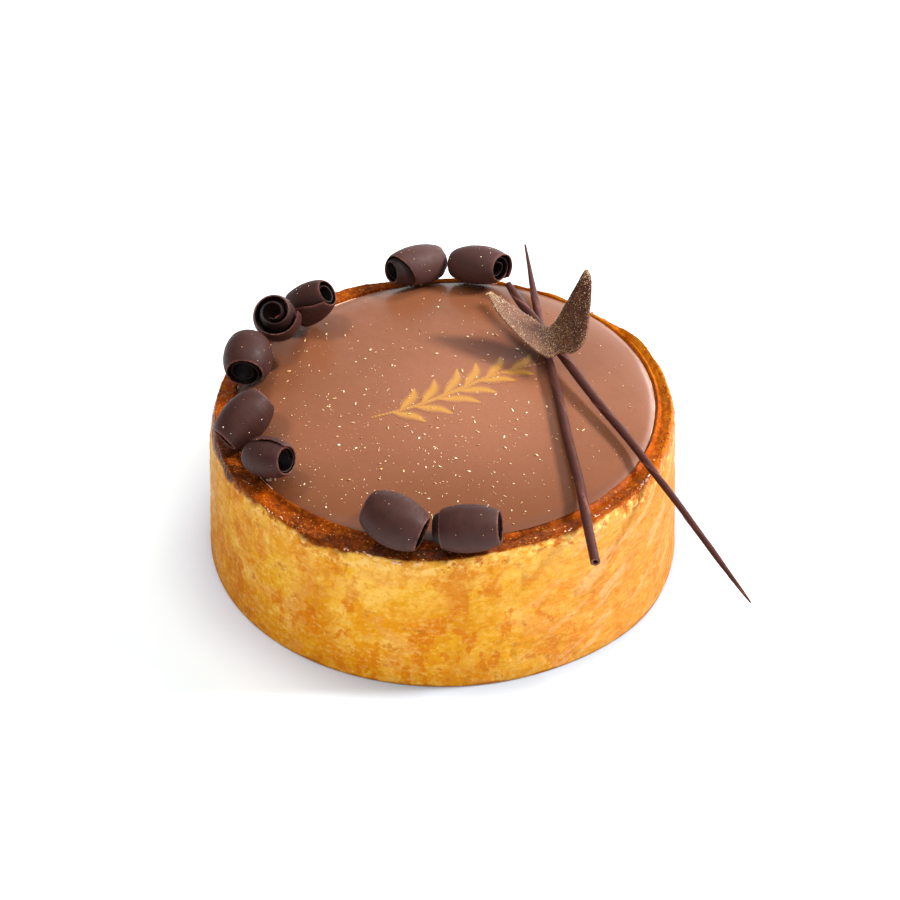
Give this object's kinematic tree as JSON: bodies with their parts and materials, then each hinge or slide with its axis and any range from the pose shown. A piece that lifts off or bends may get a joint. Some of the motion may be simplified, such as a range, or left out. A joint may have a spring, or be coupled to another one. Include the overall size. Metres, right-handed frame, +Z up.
{
  "type": "chocolate flan",
  "caption": "Round chocolate flan in a tall pastry case, with a glazed filling, rolled chocolate curls round the rim, crossed chocolate sticks and a forked chocolate leaf.",
  "frame": {"origin": "centre of the flat underside of the pastry case", "axes": "+Z up through the glaze, -Y towards the side that the picture shows, +X to that view's right"},
  "size_m": [0.1178, 0.1245, 0.0575],
  "materials": {
    "crust": "baked golden pastry, darker inside the rim",
    "filling": "smooth milk chocolate glaze with gold flakes",
    "curl_back_left": "satin dark chocolate",
    "curl_back_right": "satin dark chocolate",
    "curl_left_1": "satin dark chocolate",
    "curl_left_2": "satin dark chocolate",
    "curl_left_3": "satin dark chocolate",
    "curl_left_4": "satin dark chocolate",
    "curl_left_5": "satin dark chocolate",
    "curl_front_left": "satin dark chocolate",
    "curl_front_right": "satin dark chocolate",
    "stick_lower": "matt dark chocolate",
    "stick_upper": "matt dark chocolate",
    "leaf": "dark chocolate dusted with gold"
  },
  "bodies": {
    "root": {"crust": "crust", "filling": "filling", "curl_back_left": "curl_back_left", "curl_back_right": "curl_back_right", "curl_left_1": "curl_left_1", "curl_left_2": "curl_left_2", "curl_left_3": "curl_left_3", "curl_left_4": "curl_left_4", "curl_left_5": "curl_left_5", "curl_front_left": "curl_front_left", "curl_front_right": "curl_front_right", "stick_lower": "stick_lower", "stick_upper": "stick_upper", "leaf": "leaf"}
  },
  "joints": []
}
